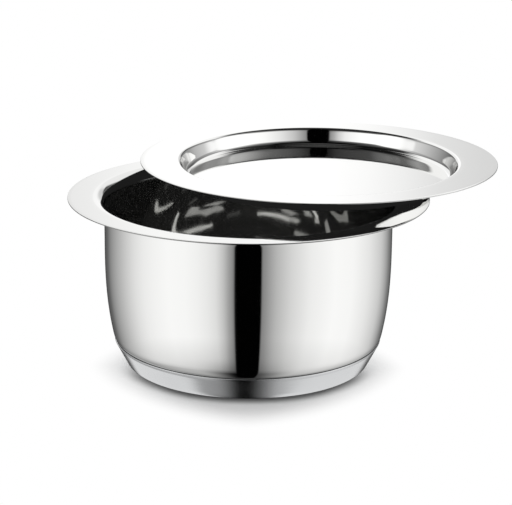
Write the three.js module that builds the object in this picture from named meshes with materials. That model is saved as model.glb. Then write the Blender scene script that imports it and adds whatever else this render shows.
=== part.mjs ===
// A round stainless steel cooking pot with its lid, in millimetres, +Z up.
// The pot stands on Z = 0 with its axis on the Z axis. The lid rests on the flange, drawn back and
// to the right, so that it leaves part of the mouth open.
import * as THREE from "three";

// Body: one deep-drawn shell. Radii and heights are those of its inner face, up to the flange.
const MOUTH_RADIUS = 100;
const BODY_SHEET = 0.8;
const HEIGHT = 120;
const LIP_RADIUS = 9;
const BELLY_TOP = 85;
const BELLY_FOOT = 22.5;
const BELLY_INSET = 5.35;
const BELLY_POWER = 2.5;

// Flanges: flat and slightly oval. Both reach this far out from the mouth along Y, and each further
// by its own oval along X, the lid's a little more than the body's.
const FLANGE_REACH = 22.2;
const FLANGE_OVAL = 4;
const LID_OVAL = 6.2;

// Layered base: a steel cup under the floor, which reaches up round the floor's corner, with an
// aluminium disc inside it.
const CAP_SHEET = 0.8;
const CAP_HEIGHT = 17;
const CAP_TAPER = 8.9;
const CAP_EDGE_RADIUS = 2.5;
const DISC_THICKNESS = 8;
const DISC_RIM_HEIGHT = 11;

// Lid: one pressing, a flange around a recessed well that plugs the mouth when it is closed.
const LID_SHEET = 0.8;
const WELL_DEPTH = 12.2;
const WELL_SPREAD = 4.3;
const WELL_CORNER_RADIUS = 3.5;
const WELL_LIP_RADIUS = 3;
const PLUG_CLEARANCE = 3.4;

// Where the lid lies: the offset of its centre from the pot's axis.
const LID_TO_THE_RIGHT = 50.2;
const LID_TO_THE_BACK = 51;

// Clearances: at the seam of the base, and under the resting lid.
const SEAM_GAP = 0.3;
const RESTING_GAP = 0.3;

// Counts of flat steps in the round forms.
const TURN_STEPS = 64;
const CORNER_STEPS = 5;
const BELLY_STEPS = 8;
const LIP_STEPS = 6;
const BEND_STEPS = 3;

const QUARTER_TURN = Math.PI / 2;

// Heights that follow from how the base is stacked up.
const FLOOR_UNDERSIDE = CAP_SHEET + DISC_THICKNESS;
const FLOOR_TOP = FLOOR_UNDERSIDE + BODY_SHEET;

// The corner between floor and wall is one arc, tangent to the floor and to the drawn-in wall.
const BELLY_HEIGHT = BELLY_TOP - BELLY_FOOT;
const BELLY_LEAN = Math.atan((BELLY_INSET * BELLY_POWER) / BELLY_HEIGHT);
const CORNER_TURN = QUARTER_TURN - BELLY_LEAN;
const CORNER_RADIUS = (BELLY_FOOT - FLOOR_TOP) / (1 - Math.cos(CORNER_TURN));
const FLOOR_RADIUS = MOUTH_RADIUS - BELLY_INSET - CORNER_RADIUS * Math.sin(CORNER_TURN);
const LIP_END_RADIUS = MOUTH_RADIUS + LIP_RADIUS;
const FLANGE_HALF_WIDTH = MOUTH_RADIUS + FLANGE_REACH;

const point = (radius, height) => new THREE.Vector2(radius, height);

// Points of an arc in the profile plane. Angles are measured from the direction away from the axis.
function arc(centre, radius, from, to, steps) {
  const points = [];
  for (let step = 0; step <= steps; step += 1) {
    const angle = from + ((to - from) * step) / steps;
    points.push(point(centre.x + radius * Math.cos(angle), centre.y + radius * Math.sin(angle)));
  }
  return points;
}

// An open line through the given corners, each inner corner rounded with its own radius.
function rounded(corners, radii) {
  const line = [corners[0]];
  for (let index = 1; index < corners.length - 1; index += 1) {
    const corner = corners[index];
    const back = corners[index - 1].clone().sub(corner).normalize();
    const ahead = corners[index + 1].clone().sub(corner).normalize();
    const turn = Math.PI - Math.acos(back.dot(ahead));
    const radius = radii[index - 1];
    const toCentre = back.clone().add(ahead).normalize();
    const centre = toCentre.multiplyScalar(radius / Math.cos(turn / 2)).add(corner);
    const start = back.multiplyScalar(radius * Math.tan(turn / 2)).add(corner).sub(centre);
    const side = Math.sign(start.cross(ahead));
    line.push(...arc(centre, radius, start.angle(), start.angle() + side * turn, BEND_STEPS));
  }
  line.push(corners[corners.length - 1]);
  return line;
}

// A line moved to its right-hand side, which is the outer face when it runs from the axis to a rim.
function offset(line, distance) {
  return line.map((corner, index) => {
    const before = line[Math.max(index - 1, 0)];
    const after = line[Math.min(index + 1, line.length - 1)];
    const into = corner.clone().sub(before).normalize();
    const out = after.clone().sub(corner).normalize();
    const along = into.clone().add(out).normalize();
    const mitre = Math.max(along.dot(into), along.dot(out));
    return point(corner.x + (along.y * distance) / mitre, corner.y - (along.x * distance) / mitre);
  });
}

// The closed section of a pressed sheet whose upper or inner face follows the line.
const pressed = (line, sheet) => [...line, ...offset(line, sheet).reverse()];

// A body of revolution about Z from a section that starts and ends on the axis.
function turned(section) {
  const geometry = new THREE.LatheGeometry([...section].reverse(), TURN_STEPS);
  geometry.rotateX(QUARTER_TURN);
  return geometry;
}

// Stretches what lies outside the flat's inner edge along X, so that the flange becomes an oval.
function stretchFlange(geometry, flatStart, oval) {
  const place = geometry.getAttribute("position");
  const stretch = oval / FLANGE_HALF_WIDTH;
  for (let index = 0; index < place.count; index += 1) {
    const radius = Math.hypot(place.getX(index), place.getY(index));
    const share = Math.max(radius - flatStart, 0) / (FLANGE_HALF_WIDTH - flatStart);
    place.setX(index, place.getX(index) * (1 + stretch * share));
  }
  return geometry;
}

// The inner face's radius where the wall draws in.
function bellyRadius(height) {
  const share = (BELLY_TOP - height) / BELLY_HEIGHT;
  return MOUTH_RADIUS - BELLY_INSET * share ** BELLY_POWER;
}

// The body's outer face in the corner, moved out by a clearance, at a given height.
function cornerRadiusAt(height, clearance) {
  const radius = CORNER_RADIUS + BODY_SHEET + clearance;
  const drop = FLOOR_TOP + CORNER_RADIUS - height;
  return FLOOR_RADIUS + Math.sqrt(radius ** 2 - drop ** 2);
}

function bodyGeometry() {
  const cornerCentre = point(FLOOR_RADIUS, FLOOR_TOP + CORNER_RADIUS);
  const line = [point(0, FLOOR_TOP)];
  line.push(...arc(cornerCentre, CORNER_RADIUS, -QUARTER_TURN, -BELLY_LEAN, CORNER_STEPS));
  for (let step = 1; step <= BELLY_STEPS; step += 1) {
    const height = BELLY_FOOT + (BELLY_HEIGHT * step) / BELLY_STEPS;
    line.push(point(bellyRadius(height), height));
  }
  const lipCentre = point(LIP_END_RADIUS, HEIGHT - LIP_RADIUS);
  line.push(...arc(lipCentre, LIP_RADIUS, Math.PI, QUARTER_TURN, LIP_STEPS));
  line.push(point(FLANGE_HALF_WIDTH, HEIGHT));
  return stretchFlange(turned(pressed(line, BODY_SHEET)), LIP_END_RADIUS, FLANGE_OVAL);
}

// The cup's rim clears the body's corner by the seam gap, and its side tapers in to the foot.
const CAP_RIM_INNER_RADIUS = cornerRadiusAt(CAP_HEIGHT, 0) + SEAM_GAP;
const CAP_FOOT_RADIUS = CAP_RIM_INNER_RADIUS + CAP_SHEET - CAP_TAPER;
const CAP_FLARE = CAP_TAPER / CAP_HEIGHT;

function capGeometry() {
  const corners = [
    point(0, CAP_SHEET),
    point(CAP_FOOT_RADIUS - CAP_SHEET + CAP_FLARE * CAP_SHEET, CAP_SHEET),
    point(CAP_RIM_INNER_RADIUS, CAP_HEIGHT),
  ];
  return turned(pressed(rounded(corners, [CAP_EDGE_RADIUS - CAP_SHEET]), CAP_SHEET));
}

// The disc fills the cup: flat against both floors, and a gap off the cup's side and the corner.
function discGeometry() {
  const side = (height) => CAP_FOOT_RADIUS - CAP_SHEET + CAP_FLARE * height - SEAM_GAP;
  const corners = [
    point(0, CAP_SHEET),
    point(side(CAP_SHEET), CAP_SHEET),
    point(side(DISC_RIM_HEIGHT), DISC_RIM_HEIGHT),
  ];
  const centre = point(FLOOR_RADIUS, FLOOR_TOP + CORNER_RADIUS);
  const landEnd = point(cornerRadiusAt(DISC_RIM_HEIGHT, SEAM_GAP), DISC_RIM_HEIGHT).sub(centre);
  const landAngle = Math.atan2(landEnd.y, landEnd.x);
  const section = rounded(corners, [CAP_EDGE_RADIUS]);
  section.push(...arc(centre, landEnd.length(), landAngle, -QUARTER_TURN, CORNER_STEPS));
  section.push(point(FLOOR_RADIUS - SEAM_GAP, FLOOR_UNDERSIDE));
  section.push(point(0, FLOOR_UNDERSIDE));
  return turned(section.reverse());
}

// The lid's flange lies at the height 0 of its own group.
function lidGeometry() {
  const floorRadius = MOUTH_RADIUS - PLUG_CLEARANCE - LID_SHEET;
  const corners = [
    point(0, -WELL_DEPTH),
    point(floorRadius, -WELL_DEPTH),
    point(floorRadius + WELL_SPREAD, 0),
    point(FLANGE_HALF_WIDTH, 0),
  ];
  const line = rounded(corners, [WELL_CORNER_RADIUS, WELL_LIP_RADIUS]);
  const flatStart = line[line.length - 2].x;
  return stretchFlange(turned(pressed(line, LID_SHEET)), flatStart, LID_OVAL);
}

const polishedSteel = { color: 0xd9d9d6, roughness: 0.06, metalness: 1 };
const brushedSteel = { color: 0xc8c9cb, roughness: 0.35, metalness: 1 };
const bareAluminium = { color: 0xbfc1c4, roughness: 0.5, metalness: 1 };

function piece(name, geometry, finish) {
  const mesh = new THREE.Mesh(geometry, new THREE.MeshStandardMaterial(finish));
  mesh.name = name;
  return mesh;
}

const pot = new THREE.Group();
pot.add(piece("pot_body", bodyGeometry(), polishedSteel));
pot.add(piece("heat_disc", discGeometry(), bareAluminium));
pot.add(piece("base_cap", capGeometry(), brushedSteel));

const lid = piece("lid", lidGeometry(), polishedSteel);
lid.position.set(LID_TO_THE_RIGHT, LID_TO_THE_BACK, HEIGHT + RESTING_GAP + LID_SHEET + WELL_DEPTH);

const group = new THREE.Group();
group.add(pot, lid);

export default group;
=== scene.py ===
# %% [markdown]
# # A polished steel pot with its lid
#
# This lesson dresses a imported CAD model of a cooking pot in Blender. The pot is a handful of
# pressings: a deep-drawn body with a flat flange, a base made of an aluminium disc in a brushed
# steel cup, and a lid whose recessed well plugs the mouth. Almost all of what the eye sees on such a
# pot is what the steel mirrors, so the lesson spends its effort on three things: profiles that bend
# smoothly, a finish that is nearly but not quite a mirror, and a light tent that gives it something
# to show.

# %% Load the frame
import math
import bpy
from mathutils import Matrix, Vector


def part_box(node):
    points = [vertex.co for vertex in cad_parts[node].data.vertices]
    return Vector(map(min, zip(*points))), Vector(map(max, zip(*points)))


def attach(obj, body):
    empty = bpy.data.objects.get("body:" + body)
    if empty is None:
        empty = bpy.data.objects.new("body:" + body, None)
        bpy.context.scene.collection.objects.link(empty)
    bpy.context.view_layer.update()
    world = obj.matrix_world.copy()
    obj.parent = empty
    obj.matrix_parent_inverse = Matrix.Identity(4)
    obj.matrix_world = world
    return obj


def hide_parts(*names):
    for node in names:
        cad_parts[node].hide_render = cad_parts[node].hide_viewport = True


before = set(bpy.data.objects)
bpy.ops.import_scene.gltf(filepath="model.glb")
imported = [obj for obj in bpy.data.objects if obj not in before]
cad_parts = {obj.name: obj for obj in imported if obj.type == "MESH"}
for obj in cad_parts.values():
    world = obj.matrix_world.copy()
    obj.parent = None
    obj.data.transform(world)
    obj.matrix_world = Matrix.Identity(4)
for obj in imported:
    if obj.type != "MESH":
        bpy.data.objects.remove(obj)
scene = bpy.context.scene
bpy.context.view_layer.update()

# %% [markdown]
# ## Camera
#
# The camera's place was found by fitting the pot's circles to their outlines in the picture, with the
# mouth taken as 200 mm across. It stands about a metre and a half away on a long lens, so the ellipses
# of rim and base are nearly alike. Aim, turn, tilt and roll are kept as separate values, because that
# is how a photographer would adjust them.

# %% Camera
MM = 0.001
SENSOR_WIDTH = 36.0
LENS = 145.0
CAMERA_DISTANCE = 1457.5 * MM
CAMERA_ELEVATION = math.radians(17.212)
CAMERA_TURN = math.radians(-0.2145)
CAMERA_TILT = math.radians(0.6813)
CAMERA_ROLL = math.radians(0.47)
CAMERA_AIM = Vector((0, 0, 60 * MM))
NEAREST = 0.1
FARTHEST = 100

camera = bpy.data.objects.new("camera", bpy.data.cameras.new("camera"))
scene.collection.objects.link(camera)
scene.camera = camera
camera.data.sensor_width = SENSOR_WIDTH
camera.data.lens = LENS
camera.data.clip_start = NEAREST
camera.data.clip_end = FARTHEST
outward = Vector((0, -math.cos(CAMERA_ELEVATION), math.sin(CAMERA_ELEVATION)))
level = Matrix.Rotation(math.pi / 2 - CAMERA_ELEVATION, 4, "X")
adjust = Matrix.Rotation(CAMERA_TURN, 4, "Y") @ Matrix.Rotation(CAMERA_TILT, 4, "X")
adjust = adjust @ Matrix.Rotation(CAMERA_ROLL, 4, "Z")
camera.matrix_world = Matrix.Translation(CAMERA_AIM + outward * CAMERA_DISTANCE) @ level @ adjust
print("camera at", [round(value, 4) for value in camera.matrix_world.translation])

# %% [markdown]
# ## Sizes
#
# Heights and outer reaches come from the frame, so that the visual pieces stay in the CAD model's
# box. The rest of a profile isn't in a box: the mouth, the bends and the sheet's thickness are
# named here, in millimetres times MM.

# %% Sizes
body_low, body_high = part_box("pot_body")
cap_low, cap_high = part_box("base_cap")
lid_low, lid_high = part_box("lid")

SHEET = 0.8 * MM
MOUTH_RADIUS = 100 * MM
LIP_RADIUS = 9 * MM
BELLY_TOP = 85 * MM
BELLY_FOOT = 22.5 * MM
BELLY_INSET = 5.35 * MM
BELLY_POWER = 2.5
HEIGHT = body_high.z
FLANGE_LONG = body_high.x
FLANGE_WIDE = body_high.y

floor_top = body_low.z + SHEET
belly_height = BELLY_TOP - BELLY_FOOT
belly_lean = math.atan(BELLY_INSET * BELLY_POWER / belly_height)
corner_turn = math.pi / 2 - belly_lean
corner_radius = (BELLY_FOOT - floor_top) / (1 - math.cos(corner_turn))
floor_radius = MOUTH_RADIUS - BELLY_INSET - corner_radius * math.sin(corner_turn)
print(f"flange {2 * FLANGE_LONG:.4f} by {2 * FLANGE_WIDE:.4f}, floor radius {floor_radius:.4f}")

# %% [markdown]
# ## Turning a profile
#
# A pressing is drawn out of a flat disc of sheet. The same is done here: a disc primitive is the
# floor, and its rim is extruded again and again, each time brought to the next reach and height of
# the profile. Compared with spinning a drawn line, this keeps every ring in hand, which the flange
# needs: its rings aren't round but slightly oval.

# %% Draw a rim outwards
SIDES = 256


class Drawing:
    """A disc whose rim is drawn out ring by ring, about an upright axis through a centre."""

    def __init__(self, name, centre, radius, height):
        self.centre, self.height = centre, height
        self.reach = (radius, radius)
        bpy.ops.object.select_all(action="DESELECT")
        place = (centre[0], centre[1], height)
        bpy.ops.mesh.primitive_circle_add(
            vertices=SIDES, radius=radius, fill_type="TRIFAN", location=place
        )
        self.piece = bpy.context.active_object
        self.piece.name = name
        bpy.ops.object.transform_apply(location=True, rotation=True, scale=True)
        bpy.ops.object.mode_set(mode="EDIT")
        bpy.ops.mesh.select_all(action="SELECT")
        bpy.ops.mesh.select_mode(type="EDGE")
        bpy.ops.mesh.region_to_loop()

    @staticmethod
    def pair(reach):
        """The reach along X and Y, from such a pair or from one radius."""
        return reach if isinstance(reach, tuple) else (reach, reach)

    def to(self, reach, height):
        """Extrudes the rim to a reach and a height."""
        reach = self.pair(reach)
        rise = (0, 0, height - self.height)
        bpy.ops.mesh.extrude_region_move(TRANSFORM_OT_translate={"value": rise})
        stretch = (reach[0] / self.reach[0], reach[1] / self.reach[1], 1)
        middle = (self.centre[0], self.centre[1], height)
        bpy.ops.transform.resize(value=stretch, center_override=middle)
        self.reach, self.height = reach, height

    def line(self, reach, height, steps):
        """Draws the rim straight to a reach and a height, in equal steps."""
        start, end = (*self.reach, self.height), (*self.pair(reach), height)
        for step in range(1, steps + 1):
            along, across, up = (a + (b - a) * step / steps for a, b in zip(start, end))
            self.to((along, across), up)

    def arc(self, radius_centre, height_centre, radius, start, end, steps):
        """Draws the rim along an arc. Angles are measured from the direction away from the axis."""
        for step in range(1, steps + 1):
            angle = start + (end - start) * step / steps
            self.to(
                radius_centre + radius * math.cos(angle),
                height_centre + radius * math.sin(angle),
            )

    def done(self):
        """Closes the drawing, with its faces pointing the same way."""
        bpy.ops.mesh.select_all(action="SELECT")
        bpy.ops.mesh.normals_make_consistent(inside=False)
        bpy.ops.object.mode_set(mode="OBJECT")
        return self.piece


# %% [markdown]
# ## From a surface to sheet steel
#
# A drawn surface has no thickness. The Solidify modifier gives it the sheet's, a Bevel takes the
# sharpness off the cut edge, as the maker's belt does, and smooth shading is limited to edges that
# are really smooth.

# %% Give the sheet its thickness
BEHIND_THE_FACE = -1
EDGE_ROUND = 0.22 * MM
EDGE_STEPS = 3
EDGE_ANGLE = math.radians(60)
SMOOTH_ANGLE = math.radians(50)


def apply_modifier(piece, kind, **settings):
    """Adds a modifier with its settings, and makes its result part of the mesh."""
    bpy.ops.object.select_all(action="DESELECT")
    piece.select_set(True)
    bpy.context.view_layer.objects.active = piece
    modifier = piece.modifiers.new(kind.lower(), kind)
    for name, value in settings.items():
        setattr(modifier, name, value)
    bpy.ops.object.modifier_apply(modifier=modifier.name)


def make_sheet(piece):
    """Thickens a drawn surface and rounds its cut edge."""
    apply_modifier(
        piece, "SOLIDIFY", thickness=SHEET, offset=BEHIND_THE_FACE, use_even_offset=True
    )
    apply_modifier(
        piece, "BEVEL", width=EDGE_ROUND, segments=EDGE_STEPS, limit_method="ANGLE",
        angle_limit=EDGE_ANGLE,
    )
    bpy.ops.object.shade_smooth_by_angle(angle=SMOOTH_ANGLE)
    triangles = sum(len(face.vertices) - 2 for face in piece.data.polygons)
    print(piece.name, "has", triangles, "triangles")


# %% [markdown]
# ## The body
#
# The wall is straight above and draws in below, along a power curve, so that its bend starts without
# a visible line. At its foot it turns into the floor in one arc. Above, it rolls over a wide lip into
# the flange. Rings lie close together all the way up: in a mirror, a long face beside short ones shows
# as a kink.

# %% Draw the body
RING_GAP = 2 * MM
FLOOR_RINGS = 3
CORNER_RINGS = 14
BELLY_RINGS = 34
LIP_RINGS = 18
FLANGE_RINGS = 7

drawing = Drawing("pot_shell", (0, 0), floor_radius - FLOOR_RINGS * RING_GAP, floor_top)
drawing.line(floor_radius, floor_top, FLOOR_RINGS)
drawing.arc(
    floor_radius, floor_top + corner_radius, corner_radius, -math.pi / 2, -belly_lean, CORNER_RINGS
)
for step in range(1, BELLY_RINGS + 1):
    share = 1 - step / BELLY_RINGS
    drawing.to(
        MOUTH_RADIUS - BELLY_INSET * share**BELLY_POWER, BELLY_TOP - belly_height * share
    )
wall_top = HEIGHT - LIP_RADIUS
drawing.line(MOUTH_RADIUS, wall_top, round((wall_top - BELLY_TOP) / RING_GAP))
drawing.arc(MOUTH_RADIUS + LIP_RADIUS, wall_top, LIP_RADIUS, math.pi, math.pi / 2, LIP_RINGS)
drawing.line((FLANGE_LONG, FLANGE_WIDE), HEIGHT, FLANGE_RINGS)
pot_shell = drawing.done()
make_sheet(pot_shell)
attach(pot_shell, "pot")
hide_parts("pot_body")

# %% [markdown]
# ## The base
#
# Under the floor lies an aluminium disc that spreads the heat, pressed into a shallow steel cup. The
# cup is all that shows of it: a brushed band that leans out towards the top, rounded below where it
# stands. It is drawn as the body is, from its underside, with the steel on the inner side.

# %% Draw the base cup
CAP_TAPER = 8.9 * MM
CAP_EDGE_RADIUS = 2.5 * MM
CAP_FLOOR_RINGS = 2
CAP_EDGE_RINGS = 8
CAP_SIDE_RINGS = 6

cap_rim = cap_high.x
cap_foot = cap_rim - CAP_TAPER
cap_lean = math.atan(CAP_TAPER / cap_high.z)
cap_flat = cap_foot - CAP_EDGE_RADIUS * math.tan((math.pi / 2 - cap_lean) / 2)
drawing = Drawing("base_cup", (0, 0), cap_flat - CAP_FLOOR_RINGS * RING_GAP, cap_low.z)
drawing.line(cap_flat, cap_low.z, CAP_FLOOR_RINGS)
drawing.arc(cap_flat, CAP_EDGE_RADIUS, CAP_EDGE_RADIUS, -math.pi / 2, -cap_lean, CAP_EDGE_RINGS)
drawing.line(cap_rim, cap_high.z, CAP_SIDE_RINGS)
base_cup = drawing.done()
make_sheet(base_cup)
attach(base_cup, "pot")
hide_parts("base_cap")

# %% [markdown]
# ## The lid
#
# The lid is one pressing too: a flat floor, a short wall that leans out, and a flange a little longer
# than the body's. It lies drawn back and to the right, on the flange of the pot.

# %% Measure the lid
WELL_WALL_SPREAD = 4.3 * MM
PLUG_CLEARANCE = 3.4 * MM
WELL_CORNER_RADIUS = 5 * MM
WELL_LIP_RADIUS = 3 * MM

lid_centre = ((lid_low.x + lid_high.x) / 2, (lid_low.y + lid_high.y) / 2)
lid_long = (lid_high.x - lid_low.x) / 2
lid_wide = (lid_high.y - lid_low.y) / 2
lid_top = lid_high.z
well_floor = lid_low.z + SHEET
well_foot = MOUTH_RADIUS - PLUG_CLEARANCE - SHEET
well_turn = math.pi / 2 - math.atan(WELL_WALL_SPREAD / (lid_top - well_floor))
well_flat = well_foot - WELL_CORNER_RADIUS * math.tan(well_turn / 2)
flange_start = well_foot + WELL_WALL_SPREAD + WELL_LIP_RADIUS * math.tan(well_turn / 2)
print(f"well floor {2 * well_flat:.4f} across, flange from radius {flange_start:.4f}")

# %% Draw the lid
BEND_RINGS = 12
WELL_WALL_RINGS = 4

drawing = Drawing("lid_plate", lid_centre, well_flat - FLOOR_RINGS * RING_GAP, well_floor)
drawing.line(well_flat, well_floor, FLOOR_RINGS)
drawing.arc(
    well_flat, well_floor + WELL_CORNER_RADIUS, WELL_CORNER_RADIUS,
    -math.pi / 2, -math.pi / 2 + well_turn, BEND_RINGS,
)
drawing.line(
    flange_start - WELL_LIP_RADIUS * math.sin(well_turn),
    lid_top - WELL_LIP_RADIUS * (1 - math.cos(well_turn)),
    WELL_WALL_RINGS,
)
drawing.arc(
    flange_start, lid_top - WELL_LIP_RADIUS, WELL_LIP_RADIUS,
    math.pi / 2 + well_turn, math.pi / 2, BEND_RINGS,
)
drawing.line((lid_long, lid_wide), lid_top, FLANGE_RINGS)
lid_plate = drawing.done()
make_sheet(lid_plate)
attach(lid_plate, "lid")
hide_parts("lid")

# %% [markdown]
# ## Writing shaders as sums
#
# A pattern is easier to read as a sum than as a chain of nodes. A Signal wraps the output of a node,
# and Python's operators on it add Math nodes.

# %% A socket that takes arithmetic
class Signal:
    """One output of a shader node."""

    def __init__(self, finish, socket):
        self.finish, self.socket = finish, socket

    def math(self, operation, *others):
        """A Math node that takes this signal first and the others after it."""
        return self.finish.node(
            "Math", {"operation": operation}, dict(enumerate((self, *others)))
        )

    def __add__(self, other):
        return self.math("ADD", other)

    def __sub__(self, other):
        return self.math("SUBTRACT", other)

    def __mul__(self, other):
        return self.math("MULTIPLY", other)

    def __truediv__(self, other):
        return self.math("DIVIDE", other)

    def __neg__(self):
        return self * -1

    def __rsub__(self, other):
        return -self + other

    def __abs__(self):
        return self.math("ABSOLUTE")

    __radd__ = __add__
    __rmul__ = __mul__

    def between(self, low, high):
        """0 where the signal is under low, 1 over high, and a smooth step in between."""
        edges = {"Value": self, "From Min": low, "From Max": high}
        return self.finish.node("MapRange", {"interpolation_type": "SMOOTHSTEP"}, edges)

    def band(self, start, end):
        """1 after the start and before the end, which are both pairs of edges."""
        return self.between(*start) * (1 - self.between(*end))


# %% [markdown]
# ## One way to make a node
#
# Every node comes from one method of a Finish, which takes the kind of node, its settings, what goes
# into its sockets, and which outputs are wanted. The other methods are what the steel, the tent and
# the floor have in common.

# %% A material that makes its own nodes
class Finish:
    """A material, and the one way in which its nodes are made."""

    def __init__(self, name, tree=None):
        self.material = None
        if tree is None:
            self.material = bpy.data.materials.new(name)
            self.material.use_nodes = True
            tree = self.material.node_tree
        self.tree = tree
        self.tree.nodes.clear()

    def node(self, kind, settings=None, values=None, output=0):
        """Makes a node. Output is a socket's name or place, or a tuple of several."""
        made = self.tree.nodes.new("ShaderNode" + kind)
        settings = dict(settings or {})
        for place, (position, tone) in enumerate(settings.pop("stops", [])):
            stops = made.color_ramp.elements
            stop = stops[place] if place < len(stops) else stops.new(position)
            stop.position = position
            stop.color = (tone, tone, tone, 1)
        for name, value in settings.items():
            setattr(made, name, value)
        for key, value in (values or {}).items():
            socket = self.pick(made.inputs, key)
            if isinstance(value, Signal):
                self.tree.links.new(value.socket, socket)
            else:
                socket.default_value = value
        if not made.outputs:
            return made
        if isinstance(output, tuple):
            return [Signal(self, self.pick(made.outputs, key)) for key in output]
        return Signal(self, self.pick(made.outputs, output))

    @staticmethod
    def pick(sockets, key):
        """The socket at a place in the list, or the one in use with a name."""
        if isinstance(key, int):
            return sockets[key]
        return next(socket for socket in sockets if socket.enabled and socket.name == key)

    def place(self):
        """The object's own coordinates, as three signals."""
        position = self.node("TexCoord", output="Object")
        return self.node("SeparateXYZ", {}, {0: position}, output=("X", "Y", "Z"))

    def ramp(self, signal, stops):
        """A ramp whose stops are pairs of the signal's own value and a brightness."""
        low, high = stops[0][0], stops[-1][0]
        brightest = max(tone for _, tone in stops)
        shares = [((place - low) / (high - low), tone / brightest) for place, tone in stops]
        position = (signal - low) / (high - low)
        return self.node("ValToRGB", {"stops": shares}, {"Fac": position}) * brightest

    def grey(self, tone):
        """A colour without a hue."""
        return self.node("CombineColor", {}, {0: tone, 1: tone, 2: tone})

    def seen_directly(self):
        """1 for rays from the camera, a mirror or glass, and 0 for those that only light."""
        kinds = ("Is Camera Ray", "Is Glossy Ray", "Is Transmission Ray")
        camera_ray, glossy_ray, clear_ray = self.node("LightPath", output=kinds)
        return (camera_ray + glossy_ray + clear_ray).math("MINIMUM", 1.0)

    def end(self, surface):
        """Leads the surface to the material's output."""
        self.node("OutputMaterial", {}, {"Surface": surface})

    def glow(self, tone):
        """A light of its own. Only mirror rays meet it, so it isn't sampled as a lamp."""
        self.material.cycles.emission_sampling = "NONE"
        return self.node("Emission", {}, {"Color": tone, "Strength": 1.0})

    def wear(self, piece):
        """Puts the material on a piece, in place of any other."""
        piece.data.materials.clear()
        piece.data.materials.append(self.material)
        print(piece.name, "wears", self.material.name, "of", len(self.tree.nodes), "nodes")


# %% [markdown]
# ## Steel
#
# Polished steel isn't a perfect mirror. The polishing wheel leaves rings that run round the axis,
# fractions of a millimetre apart and less than a micron deep, and use leaves a little haze. Both are
# weak here: the rings go into a very small bump and into the roughness, and the haze into the
# roughness alone. The same maths with deeper rings and a higher roughness gives the brushed band of
# the base.

# %% Rings round an axis
RING_DETAIL = 2


def ring_noise(finish, centre, rings_per_metre, turns):
    """Noise that is drawn out along circles round an upright axis, for walls and flats alike."""
    x, y, z = finish.place()
    x, y = x - centre[0], y - centre[1]
    radius = (x * x + y * y).math("SQRT")
    along = (radius + z) * rings_per_metre
    vector = finish.node("CombineXYZ", {}, {0: x / radius * turns, 1: y / radius * turns, 2: along})
    return finish.node("TexNoise", {}, {"Vector": vector, "Scale": 1.0, "Detail": RING_DETAIL})


# %% A metal with rings, haze, dullness and painted shade
SMUDGES_PER_METRE = 22.0
SMUDGE_DETAIL = 4.0
SMUDGE_EDGES = (0.35, 0.75)
RING_HAZE_SHARE = 0.5
# how far painted shade darkens the steel's colour
PAINTED_SHADE_SHARE = 0.18
DULL_SHARE = 0.03


def steel(name, centre, colour, roughness, haze, ring_depth, rings_per_metre, turns, dullness_and_painted_shade=None):
    """A metal with rings round its centre. The last argument gives the masks of its dull parts and of
    its painted shade.
    """
    finish = Finish(name)
    dull, painted_darkness = dullness_and_painted_shade(finish) if dullness_and_painted_shade else (0.0, 0.0)
    rings = ring_noise(finish, centre, rings_per_metre, turns)
    position = finish.node("TexCoord", output="Object")
    smudges = finish.node(
        "TexNoise", {},
        {"Vector": position, "Scale": SMUDGES_PER_METRE, "Detail": SMUDGE_DETAIL},
    )
    cloudy = smudges.between(*SMUDGE_EDGES) + RING_HAZE_SHARE * rings
    # painted shade: the colour that the masked parts are darkened to
    painted_shade_colour = tuple(channel * PAINTED_SHADE_SHARE for channel in colour)
    shade = finish.node(
        "Mix", {"data_type": "RGBA"},
        {"Factor": painted_darkness, "A": (*colour, 1), "B": (*painted_shade_colour, 1)},
        output="Result",
    )
    bumps = finish.node("Bump", {}, {"Strength": 1.0, "Distance": ring_depth, "Height": rings})
    surface = {
        "Base Color": shade,
        "Metallic": 1 - DULL_SHARE * dull,
        "Roughness": roughness + haze * cloudy,
        "Normal": bumps,
    }
    finish.end(finish.node("BsdfPrincipled", {}, surface))
    return finish


# %% [markdown]
# ## Where the steel is dull, and where shade is painted on it
#
# The thin dark line round both flanges, on the cut edge of the sheet, is painted shade: it stands in
# for the dark that the edge mirrors. Painted shade also darkens the steel round the crevice where the
# body meets the base cup, standing in for the dark gap there. The inside of the pot is a little dull
# from use. What is inside can't be told by the radius alone, because the belly is narrower than the
# mouth, so the way that the surface faces decides as well.

# %% Masks for the pot and the lid
CUT_EDGE_SHARES = (0.9965, 0.998)
CUT_EDGE_DEPTHS = (0.1 * MM, 0.2 * MM)
# heights of the painted shade round the crevice where the body meets the base cup
PAINTED_CREVICE_SHADE_HEIGHTS = (0.3 * MM, 2.2 * MM)
INWARDS = (-0.1, 0.1)
# how dark the painted shade on the cut edges of the flanges is
POT_EDGE_PAINTED_SHADE = 0.85
LID_EDGE_PAINTED_SHADE = 0.5


def cut_edge(finish, centre, long, wide, top):
    """1 on the cut edge of an oval sheet, below its upper corner."""
    x, y, z = finish.place()
    x, y = (x - centre[0]) / long, (y - centre[1]) / wide
    near_the_edge = (x * x + y * y).math("SQRT").between(*CUT_EDGE_SHARES)
    return near_the_edge * (top - z).between(*CUT_EDGE_DEPTHS)


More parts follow.
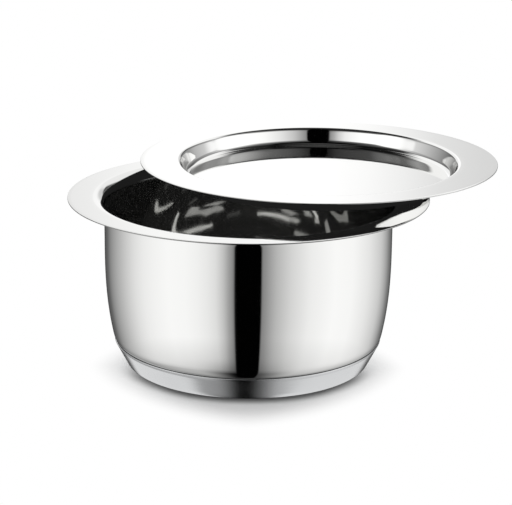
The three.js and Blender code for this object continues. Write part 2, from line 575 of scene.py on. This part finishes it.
def pot_dullness_and_painted_shade(finish):
    """The dull inside, and painted shade on the cut edge and round the crevice above the base."""
    x, y, z = finish.place()
    facing = finish.node("NewGeometry", output="Normal")
    across, along, up = finish.node("SeparateXYZ", {}, {0: facing}, output=("X", "Y", "Z"))
    radius = (x * x + y * y).math("SQRT")
    outwards = (x * across + y * along) / radius - up
    inside = 1 - radius.between(MOUTH_RADIUS, MOUTH_RADIUS + SHEET / 2)
    inside = inside * (1 - outwards.between(*INWARDS))
    # painted shade: the steel round the crevice above the base is darkened, for the dark gap there
    low, high = PAINTED_CREVICE_SHADE_HEIGHTS
    painted_crevice_shade = 1 - z.between(cap_high.z + low, cap_high.z + high)
    painted_crevice_shade = painted_crevice_shade * radius.between(cap_foot, cap_foot + MM)
    # painted shade: a thin dark line on the flange's cut edge, for the dark that the edge mirrors
    edge = cut_edge(finish, (0, 0), FLANGE_LONG, FLANGE_WIDE, HEIGHT)
    return inside, (POT_EDGE_PAINTED_SHADE * edge).math("MAXIMUM", painted_crevice_shade)


def lid_painted_shade(finish):
    """No dull part, and painted shade on the cut edge."""
    return 0.0, LID_EDGE_PAINTED_SHADE * cut_edge(finish, lid_centre, lid_long, lid_wide, lid_top)


# %% [markdown]
# ## The four metals
#
# The lid has a steel of its own, because its rings run round another centre and because it shows
# brighter than the pot: its colour is painted light, a lighter copy of the pot's steel. The aluminium
# disc keeps its CAD mesh, for nothing of it shows.

# %% Mix the metals
MICRON = 1e-6
POT_STEEL = (0.80, 0.80, 0.79)
# painted light: the lid's colour is the pot's steel made lighter, because the lid shows brighter
LID_STEEL_PAINTED_LIGHTER = (0.92, 0.92, 0.91)
CUP_STEEL = (0.80, 0.81, 0.82)
ALUMINIUM = (0.75, 0.76, 0.77)
MIRROR = {
    "roughness": 0.02, "haze": 0.02, "ring_depth": 0.3 * MICRON, "rings_per_metre": 1400, "turns": 3,
}
BRUSHED = {
    "roughness": 0.10, "haze": 0.08, "ring_depth": 6 * MICRON, "rings_per_metre": 900, "turns": 6,
}
PLAIN = {
    "roughness": 0.45, "haze": 0.1, "ring_depth": 10 * MICRON, "rings_per_metre": 900, "turns": 8,
}

polished = steel("polished_steel", (0, 0), POT_STEEL, **MIRROR, dullness_and_painted_shade=pot_dullness_and_painted_shade)
polished_lid = steel("polished_lid", lid_centre, LID_STEEL_PAINTED_LIGHTER, **MIRROR, dullness_and_painted_shade=lid_painted_shade)
brushed = steel("brushed_steel", (0, 0), CUP_STEEL, **BRUSHED)
aluminium = steel("disc_aluminium", (0, 0), ALUMINIUM, **PLAIN)
polished.wear(pot_shell)
polished_lid.wear(lid_plate)
brushed.wear(base_cup)
aluminium.wear(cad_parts["heat_disc"])

# %% [markdown]
# ## The light tent
#
# A mirror has no look of its own. In the studio such a pot stands in a tent of white cloth, lit from
# outside, with a dark slot in front for the lens. The steel shows the tent: white to the left and the
# right, a black stripe down the middle, a dark ceiling. The tent here is a large sphere that only
# reflected rays see. Its brightness is written by direction, in degrees: the azimuth from the front,
# negative to the left, and the elevation. The turn is the azimuth without its sign.

# %% Directions in the tent
TENT_RADIUS = 3.0
SIDE_BLEND = 1

cloth = Finish("tent_cloth")
x, y, z = cloth.place()
azimuth = x.math("ARCTAN2", -y) * math.degrees(1)
elevation = (z / TENT_RADIUS).math("ARCSINE") * math.degrees(1)
turn = abs(azimuth)
on_the_right = azimuth.between(-SIDE_BLEND, SIDE_BLEND)
on_the_left = 1 - on_the_right
print("the tent is", 2 * TENT_RADIUS, "metres across")

# %% [markdown]
# ### Walls
#
# The walls are brightest beside the pot and fade towards the back. The slot for the lens opens out
# below, more on the left than on the right.

# %% Walls with a slot
WALLS = [  # azimuth and brightness
    (-180, 0.0), (-165, 0.07), (-150, 0.15), (-140, 0.31), (-130, 0.45), (-120, 0.59),
    (-110, 0.75), (-100, 0.91), (-90, 1.03), (-80, 1.10), (-65, 1.17), (-50, 1.15), (-40, 1.09),
    (-32, 1.01), (-25, 0.90), (-19, 0.66), (-15, 0.43), (-11.5, 0.3), (-9.8, 0.0), (10.3, 0.0),
    (11.3, 0.29), (14, 0.35), (22, 0.58), (34, 0.82), (50, 1.05), (72, 1.18), (90, 1.15),
    (110, 0.97), (130, 0.70), (150, 0.25), (165, 0.07), (180, 0.0),
]
SLOT_OPENS_BELOW = (35, 50)
SLOT_OPENS_TO = (8, 52)
SLOT_LESS_ON_THE_RIGHT = 0.4

opening = (-elevation).between(*SLOT_OPENS_BELOW) * (1 - turn.between(*SLOT_OPENS_TO))
slot = 1 - opening * (1 - SLOT_LESS_ON_THE_RIGHT * on_the_right)
walls = cloth.ramp(azimuth, WALLS) * slot
print("the walls have", len(WALLS), "stops")

# %% [markdown]
# ### Up and down the walls
#
# Towards the foot the cloth gets darker, more on the left than on the right. At the top it goes over
# into the dark ceiling, which starts a little higher beside the pot than in front of it. A few soft
# shades lie on the cloth towards the back.

# %% Heights of the walls
FOOT_LEFT = [  # elevation and brightness
    (-84, 0.0), (-76, 0.12), (-70, 0.26), (-56, 0.42), (-44, 0.50), (-36, 0.80), (-28, 1.0),
]
FOOT_RIGHT = [
    (-84, 0.0), (-76, 0.15), (-70, 0.38), (-56, 0.55), (-44, 0.70), (-36, 0.86), (-28, 1.0),
]
CEILING_LEFT = [(30, 1.0), (34, 0.3), (40, 0.13), (50, 0.06), (60, 0.04), (66, 0.0)]
CEILING_RIGHT = [
    (30, 1.0), (35, 0.72), (40, 0.45), (45, 0.3), (52, 0.12), (62, 0.06), (66, 0.0),
]
LIFT_LEFT = 10, (55, 75)
LIFT_RIGHT = 4, (60, 90)
NO_END = (180, 181)  # no turn is past 180 degrees
SHADES_LEFT = [  # how dark, turns where it starts and ends, and elevation where it starts
    (0.25, (94, 98), NO_END, (0, 5)),
    (0.28, (80, 90), NO_END, (18, 24)),
]
SHADES_RIGHT = [
    (0.4, (99, 104), NO_END, (14, 19)),
    (0.3, (106, 118), (138, 150), (-2, 4)),
]


def heights(foot, ceiling, lift, shades):
    """How bright the cloth of one side is, from its foot to the ceiling."""
    rise, turns = lift
    tone = cloth.ramp(elevation, foot)
    tone = tone * cloth.ramp(elevation - rise * turn.between(*turns), ceiling)
    for painted_darkness, start, end, above in shades:
        tone = tone * (1 - painted_darkness * turn.band(start, end) * elevation.between(*above))
    return tone


left = heights(FOOT_LEFT, CEILING_LEFT, LIFT_LEFT, SHADES_LEFT)
right = heights(FOOT_RIGHT, CEILING_RIGHT, LIFT_RIGHT, SHADES_RIGHT)
walls = walls * (right * on_the_right + left * on_the_left)
print("the walls are shaded in", len(SHADES_LEFT) + len(SHADES_RIGHT), "places")

# %% [markdown]
# ### Light from the floor
#
# Beside the pot and towards its back, the white floor throws light up at the foot of the wall and at
# the base. Close under the pot it lies in shade.

# %% The lit floor
FLOOR_LIGHT = 0.8
FLOOR_TURNS = (58, 92)
FLOOR_NEARER_ON_THE_RIGHT = 35
FLOOR_SLOPE = 0.46
FLOOR_EDGE = (96, 101)
FLOOR_FAR = (24, 28)
FLOOR_NEAR = (72, 80)
FLOOR_BACK = (148, 162)

lit_floor = (turn + FLOOR_NEARER_ON_THE_RIGHT * on_the_right).between(*FLOOR_TURNS)
lit_floor = lit_floor * (turn * FLOOR_SLOPE - elevation).between(*FLOOR_EDGE)
lit_floor = lit_floor * (-elevation).band(FLOOR_FAR, FLOOR_NEAR)
lit_floor = lit_floor * (1 - turn.between(*FLOOR_BACK)) * FLOOR_LIGHT
print("the floor is lit from", FLOOR_FAR[1], "to", FLOOR_NEAR[0], "degrees down")

# %% [markdown]
# ### Behind the pot
#
# The flat flanges mirror what is low behind the pot: a bright window. It joins a broad band of light
# overhead, whose lower edge climbs from the back to the sides, more steeply on the left.

# %% The window and the light overhead
HALF_TURN = 180
WINDOW = [  # degrees past straight back, negative to the right, and brightness
    (-20, 0.70), (-10, 0.72), (-8, 0.80), (-6.5, 0.92), (-5, 1.02), (-3, 1.1), (4, 1.1), (6, 1.02),
    (8, 0.95), (10, 0.92), (13, 0.92),
]
WINDOW_TURNS = (160, 165)
WINDOW_SILL = (-6, 0)
WINDOW_TOP = (19, 25)
OVERHEAD_LEFT = 1.0, (165, 173)
OVERHEAD_RIGHT = 0.37, (81, 88)
OVERHEAD_TURNS = (105, 125)
OVERHEAD_TOP = (42, 54)


def above_slope(slope, edges):
    """1 above an edge that sinks by its slope as the turn grows."""
    return (elevation + turn * slope).between(*edges)


overhead = above_slope(*OVERHEAD_RIGHT) * on_the_right + above_slope(*OVERHEAD_LEFT) * on_the_left
overhead = overhead * turn.between(*OVERHEAD_TURNS)
window = turn.between(*WINDOW_TURNS) * elevation.between(*WINDOW_SILL)
past_back = (turn - HALF_TURN) * (on_the_right - on_the_left)
over_window = elevation.between(*WINDOW_TOP)
tone = cloth.ramp(past_back, WINDOW) * (1 - over_window) + over_window
behind = overhead.math("MAXIMUM", window) * tone * (1 - elevation.between(*OVERHEAD_TOP))
print("the window's own tones end at", WINDOW_TOP[0], "degrees up")

# %% [markdown]
# ### Light for the other views
#
# The slot is closed just below the lens, at a height where only a flat flange seen from behind
# mirrors it. A faint glow at the top keeps flat steel from going black when it is seen from above.

# %% Close the slot and light the top
CLOSED_TONE = 0.8
CLOSED_TURNS = (12, 20)
CLOSED_FROM = (0, 5)
CLOSED_TO = (13, 17)
TOP_TONE = 0.07
TOP_FROM = (70, 76)
TOP_TURNS = (80, 140)

closed = CLOSED_TONE * (1 - turn.between(*CLOSED_TURNS)) * elevation.band(CLOSED_FROM, CLOSED_TO)
top = TOP_TONE * elevation.between(*TOP_FROM) * turn.between(*TOP_TURNS)
print("the slot is closed from", CLOSED_FROM[1], "to", CLOSED_TO[0], "degrees up")

# %% [markdown]
# ### The sphere
#
# The tent's lights overlap, and each direction shows the brightest of them. Even its darkest cloth
# isn't quite black.

# %% Put up the tent
DARKEST = 0.0005
TENT_SEGMENTS = 64
TENT_RINGS = 32


def show_in_mirrors_only(piece):
    """Hides a stage piece from all but reflected rays."""
    piece.visible_camera = False
    piece.visible_diffuse = False
    piece.visible_shadow = False


brightness = walls
for light in (lit_floor, behind, closed, top):
    brightness = brightness.math("MAXIMUM", light)
cloth.end(cloth.glow(cloth.grey(brightness + DARKEST)))

bpy.ops.object.select_all(action="DESELECT")
bpy.ops.mesh.primitive_uv_sphere_add(
    segments=TENT_SEGMENTS, ring_count=TENT_RINGS, radius=TENT_RADIUS
)
tent = bpy.context.active_object
tent.name = "light_tent"
show_in_mirrors_only(tent)
cloth.wear(tent)

# %% [markdown]
# ## A flag over the mouth
#
# The inside of the pot is nearly black in the picture, with a few light patches. A photographer gets
# that with a flag: a black card over the mouth that only the steel sees. The patches are windows in
# it. Each is a stretch of a ring round the pot's axis, and its reach may grow or shrink on the way.

# %% Cut windows in the flag
FLAG_SHIFT = 2.4 * MM
FLAG_TONE = 0.014
PANE_BLUR = 1
PANE_END = 4
RIGHT_WINDOWS = [  # degrees from and to, reach at 0 in mm and its slope, half width, brightness
    (6, 68, 79, -0.4, 4.5, 1.1),
    (-32, 16, 42, 0.0, 7, 0.6),
    (-32, -8, 51, 0.0, 2, 0.3),
    (-62, -26, 38, 0.3, 3, 0.6),
    (-70, -30, 70, 0.0, 5, 0.1),
]
LEFT_WINDOWS = [
    (-20, 68, 63, 0.17, 4, 1.4),
    (-36, -16, 62, 0.3, 5, 0.8),
    (-72, -36, 97, 0.45, 8, 0.5),
    (-16, 14, 44.5, 0.0, 5, 0.65),
]

flag_cloth = Finish("flag_cloth")
x, y, _ = flag_cloth.place()
x = x + FLAG_SHIFT
reach = (x * x + y * y).math("SQRT") / MM
shine = FLAG_TONE
for side, windows in ((1, RIGHT_WINDOWS), (-1, LEFT_WINDOWS)):
    turned = (y * side).math("ARCTAN2", x * side) * math.degrees(1)
    for start, end, middle, slope, half, tone in windows:
        off = abs(reach - middle - turned * slope)
        pane = turned.band((start, start + PANE_END), (end - PANE_END, end))
        shine = shine + pane * (1 - off.between(half - PANE_BLUR, half + PANE_BLUR)) * tone
flag_cloth.end(flag_cloth.glow(flag_cloth.grey(shine)))
print("the flag has", len(RIGHT_WINDOWS) + len(LEFT_WINDOWS), "windows")

# %% Hang the flag
FLAG_HEIGHT = 118.65 * MM
FLAG_TILT = math.radians(0.695)
FLAG_RADIUS = 105.2 * MM
CARD_SIDES = 128

bpy.ops.object.select_all(action="DESELECT")
bpy.ops.mesh.primitive_circle_add(vertices=CARD_SIDES, radius=FLAG_RADIUS, fill_type="NGON")
flag = bpy.context.active_object
flag.name = "flag"
flag.location = (FLAG_SHIFT, 0, FLAG_HEIGHT)
flag.rotation_euler.y = -FLAG_TILT
show_in_mirrors_only(flag)
flag_cloth.wear(flag)

# %% [markdown]
# ## A card on the flange
#
# Between the lid and the flange, light bounces to and fro and makes the lip on the right too bright.
# A second black card lies on the flange. It stops what comes down from the lid, and lets through what
# rises from the pot.

# %% Lay the card on the pot
CARD_GAP = 0.12 * MM
CARD_RADIUS = 122 * MM

card_paper = Finish("card_paper")
from_below = card_paper.node("NewGeometry", output="Backfacing")
black = card_paper.glow(card_paper.grey(FLAG_TONE))
clear = card_paper.node("BsdfTransparent")
card_paper.end(card_paper.node("MixShader", {}, {0: from_below, 1: black, 2: clear}))

bpy.ops.object.select_all(action="DESELECT")
bpy.ops.mesh.primitive_circle_add(
    vertices=CARD_SIDES, radius=CARD_RADIUS, fill_type="NGON", location=(0, 0, HEIGHT + CARD_GAP)
)
card = bpy.context.active_object
card.name = "card"
show_in_mirrors_only(card)
card_paper.wear(card)

# %% [markdown]
# ## Floor
#
# The floor shows the pot's soft shadow near the base, darkest in front where the cup meets it; there a
# painted shadow darkens the floor's colour as well. Further out it fades into the white of the world.
# The edge of the fade is a rounded diamond, because a circle round the pot would cut the shadow short
# in front.

# %% Lay the floor
FLOOR_SIZE = 12.0
FLOOR_COLOUR = 0.94
SHADOW_CENTRE = -20 * MM
SHADOW_REACH = 114 * MM, 122 * MM
SHADOW_POWER = 1.5
SHADOW_START = 0.66
# width, darkness and front share of the painted shadow on the floor's colour
PAINTED_SHADOW_WIDTH = 13 * MM
PAINTED_SHADOW_DARK = 0.8
PAINTED_SHADOW_FRONT = (0.15, 0.6)
WHITE = (1, 1, 1, 1)

paper = Finish("floor_paper")
x, y, _ = paper.place()
across = (abs(x) / SHADOW_REACH[0]).math("POWER", SHADOW_POWER)
along = (abs(y - SHADOW_CENTRE) / SHADOW_REACH[1]).math("POWER", SHADOW_POWER)
distance = (across + along).math("POWER", 1 / SHADOW_POWER)
faded = distance.between(SHADOW_START, 1) * paper.seen_directly()
radius = (x * x + y * y).math("SQRT")
# painted shadow: the floor's colour is darkened next to the foot of the cup, most in front
painted_contact_shadow = 1 - radius.between(cap_foot, cap_foot + PAINTED_SHADOW_WIDTH)
painted_contact_shadow = painted_contact_shadow * (-y / radius).between(*PAINTED_SHADOW_FRONT)
shade = paper.grey(FLOOR_COLOUR * (1 - PAINTED_SHADOW_DARK * painted_contact_shadow))
matt = paper.node("BsdfDiffuse", {}, {"Color": shade})
white = paper.node("Emission", {}, {"Color": WHITE, "Strength": 1.0})
paper.end(paper.node("MixShader", {}, {0: faded, 1: matt, 2: white}))

bpy.ops.object.select_all(action="DESELECT")
bpy.ops.mesh.primitive_plane_add(size=FLOOR_SIZE)
floor = bpy.context.active_object
floor.name = "floor"
floor.visible_glossy = False
paper.wear(floor)

# %% [markdown]
# ## World
#
# The world is white to the eye, to mirrors and to glass. It lights the floor more from the back than
# from the front, so that the soft shadow of the pot falls forwards.

# %% Light the world
SKY_LIGHT = 1.06
SKY_LEAN = 0.8

world = bpy.data.worlds.new("world")
scene.world = world
world.use_nodes = True
sky = Finish("sky", world.node_tree)
direction = sky.node("TexCoord", output="Generated")
to_back = sky.node("SeparateXYZ", {}, {0: direction}, output="Y")
light = (to_back * SKY_LEAN + SKY_LIGHT).math("MAXIMUM", 0.0)
seen = sky.seen_directly()
background = sky.node("Background", {}, {"Color": WHITE, "Strength": seen + light * (1 - seen)})
sky.node("OutputWorld", {}, {"Surface": background})
print("the world is lit by", len(sky.tree.nodes), "nodes")

# %% [markdown]
# ## Finish
#
# The view transform is set to Standard, so that white is white.

# %% Finish
scene.view_settings.view_transform = "Standard"
